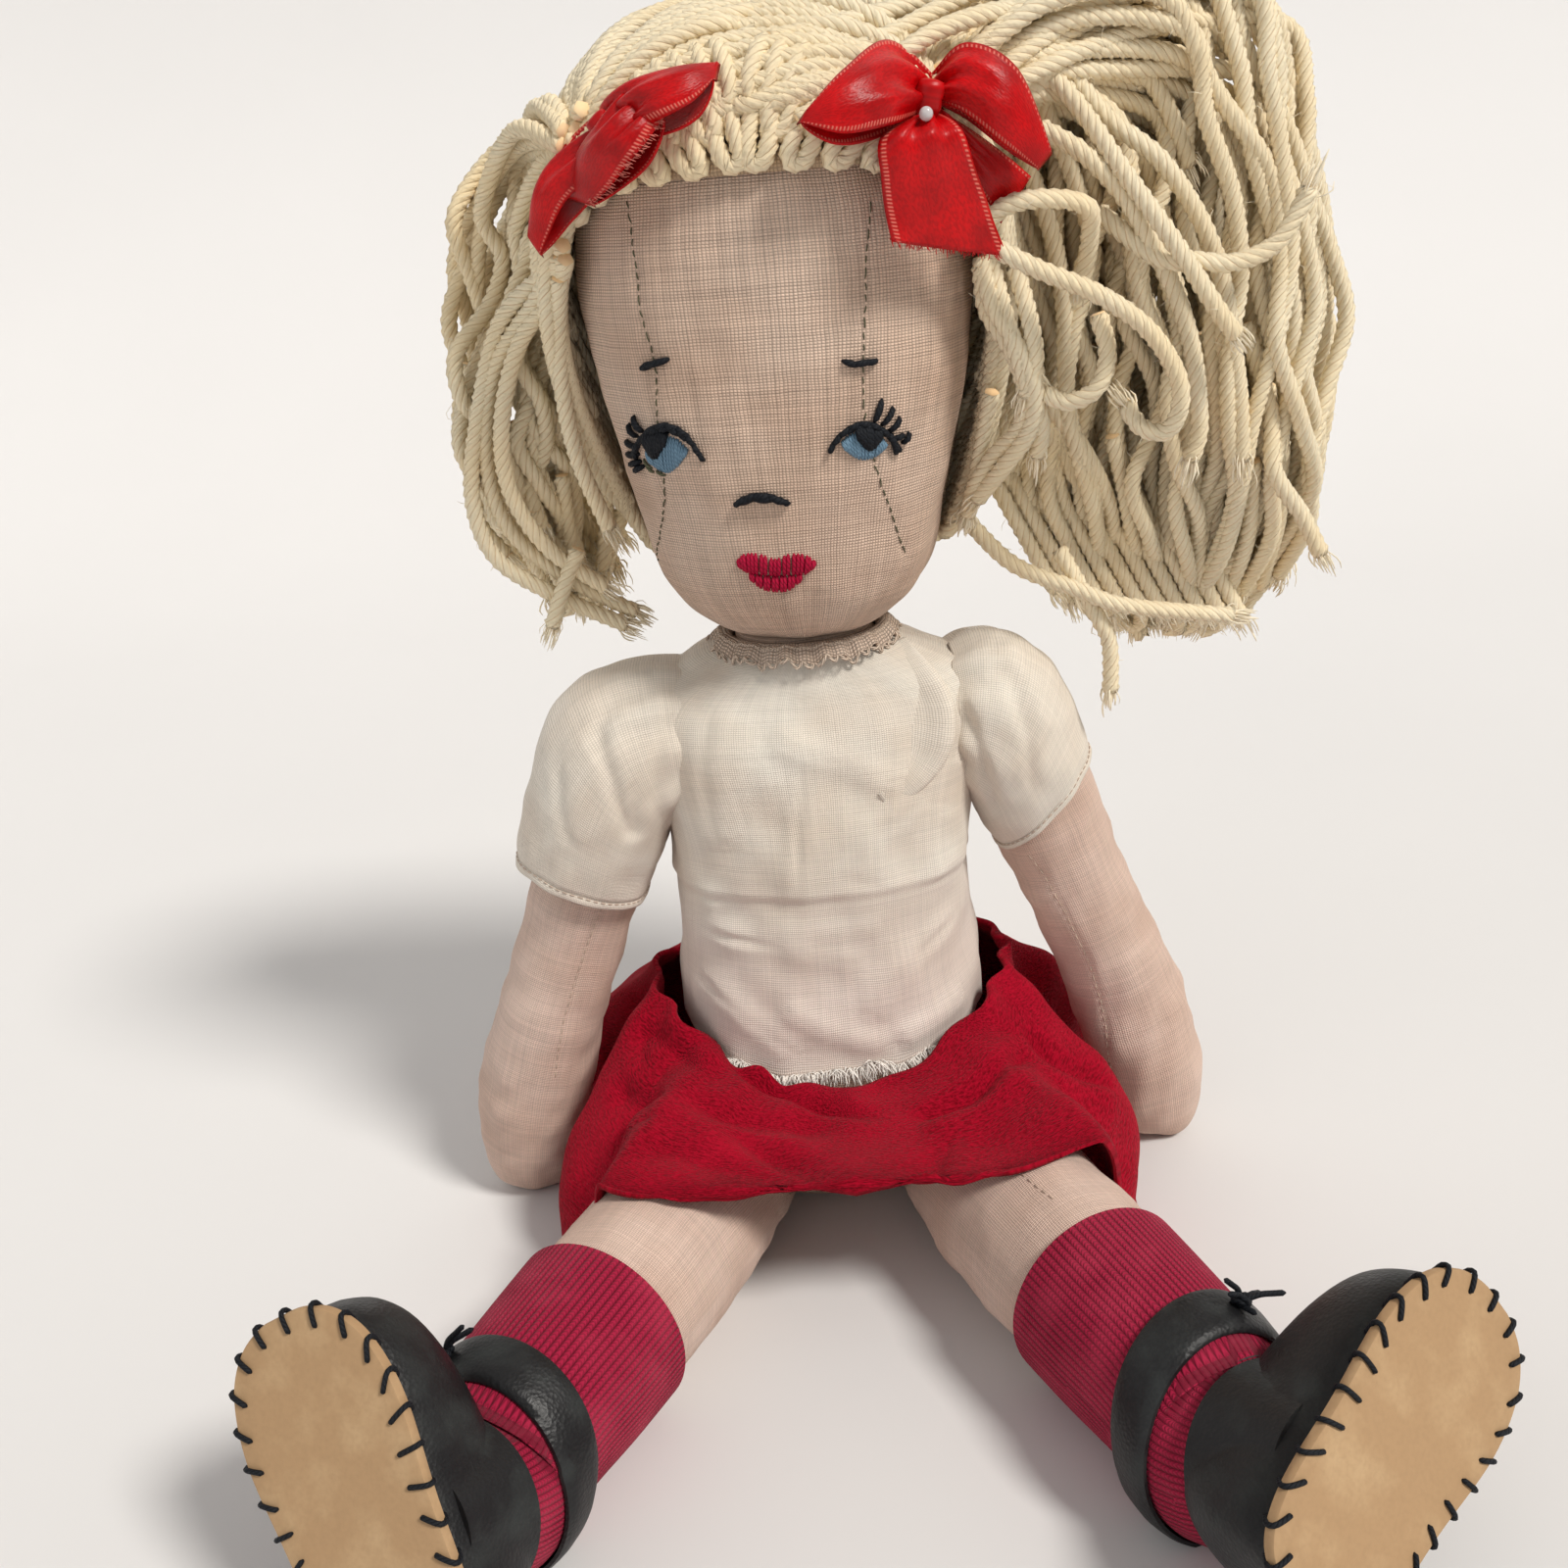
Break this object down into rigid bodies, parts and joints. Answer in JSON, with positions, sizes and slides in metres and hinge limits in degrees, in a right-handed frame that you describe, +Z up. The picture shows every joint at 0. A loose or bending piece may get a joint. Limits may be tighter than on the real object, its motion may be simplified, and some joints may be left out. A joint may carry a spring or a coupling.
{
  "type": "rag doll",
  "caption": "Seated soft cloth doll with a turning head, sewn arms and legs, yarn hair in side bunches, a short skirt and leather shoes.",
  "frame": {"origin": "on the floor under the middle of the doll's flat seat", "axes": "+Z up, -Y the way the doll faces, +X the doll's own left"},
  "size_m": [0.2018, 0.191, 0.2463],
  "materials": {
    "muslin": "plain woven muslin, matte",
    "shirt_cotton": "thin washed cotton",
    "crimson_crepe": "textured crepe",
    "crimson_knit": "fine stockinette",
    "black_leather": "smooth black, lightly worn",
    "tan_leather": "matte suede side out",
    "black_thread": "cotton thread",
    "blue_thread": "satin stitch",
    "crimson_thread": "satin stitch",
    "lace_cotton": "crochet lace",
    "hair_yarn": "twisted cotton yarn",
    "red_satin": "satin ribbon with a sheen",
    "pearl": "pearl bead"
  },
  "bodies": {
    "torso": {"torso": "muslin", "shirt_bodice": "shirt_cotton", "neck_trim": "lace_cotton", "skirt": "crimson_crepe"},
    "head": {"head": "muslin", "hair_cap": "hair_yarn", "bow_pin": "pearl", "nose": "black_thread", "upper_lip": "crimson_thread", "lower_lip": "crimson_thread", "left_hair_bunch": "hair_yarn", "left_bow": "red_satin", "left_brow": "black_thread", "left_iris": "blue_thread", "left_pupil": "black_thread", "left_lid": "black_thread", "right_hair_bunch": "hair_yarn", "right_bow": "red_satin", "right_brow": "black_thread", "right_iris": "blue_thread", "right_pupil": "black_thread", "right_lid": "black_thread"},
    "left_arm": {"left_arm": "muslin", "left_sleeve": "shirt_cotton"},
    "right_arm": {"right_arm": "muslin", "right_sleeve": "shirt_cotton"},
    "left_leg": {"left_leg": "muslin", "left_sock": "crimson_knit", "left_shoe_upper": "black_leather", "left_shoe_sole": "tan_leather", "left_shoe_strap": "black_leather", "left_shoe_tie": "black_thread"},
    "right_leg": {"right_leg": "muslin", "right_sock": "crimson_knit", "right_shoe_upper": "black_leather", "right_shoe_sole": "tan_leather", "right_shoe_strap": "black_leather", "right_shoe_tie": "black_thread"}
  },
  "joints": [
    {"name": "neck_turn", "type": "hinge", "parent": "torso", "child": "head", "pos_m": [0, 0, 0.124], "axis": [0, 0, 1], "range_deg": [-30, 30], "deforming": ["left_hair_bunch", "right_hair_bunch"]},
    {"name": "left_shoulder", "type": "hinge", "parent": "torso", "child": "left_arm", "pos_m": [0.03236, 0, 0.10354], "axis": [-0.9781, -0.2079, 0], "range_deg": [-40, 120], "deforming": ["left_sleeve", "skirt", "left_hair_bunch"]},
    {"name": "right_shoulder", "type": "hinge", "parent": "torso", "child": "right_arm", "pos_m": [-0.03236, 0, 0.10354], "axis": [-0.9781, 0.2079, 0], "range_deg": [-40, 120], "deforming": ["right_sleeve", "skirt", "right_hair_bunch"]},
    {"name": "left_hip", "type": "hinge", "parent": "torso", "child": "left_leg", "pos_m": [0.02, -0.01673, 0.006], "axis": [-0.9336, -0.3584, 0], "range_deg": [-85, 20], "deforming": ["skirt"]},
    {"name": "right_hip", "type": "hinge", "parent": "torso", "child": "right_leg", "pos_m": [-0.02, -0.01673, 0.006], "axis": [-0.8829, 0.4695, 0], "range_deg": [-85, 20], "deforming": ["skirt"]}
  ]
}
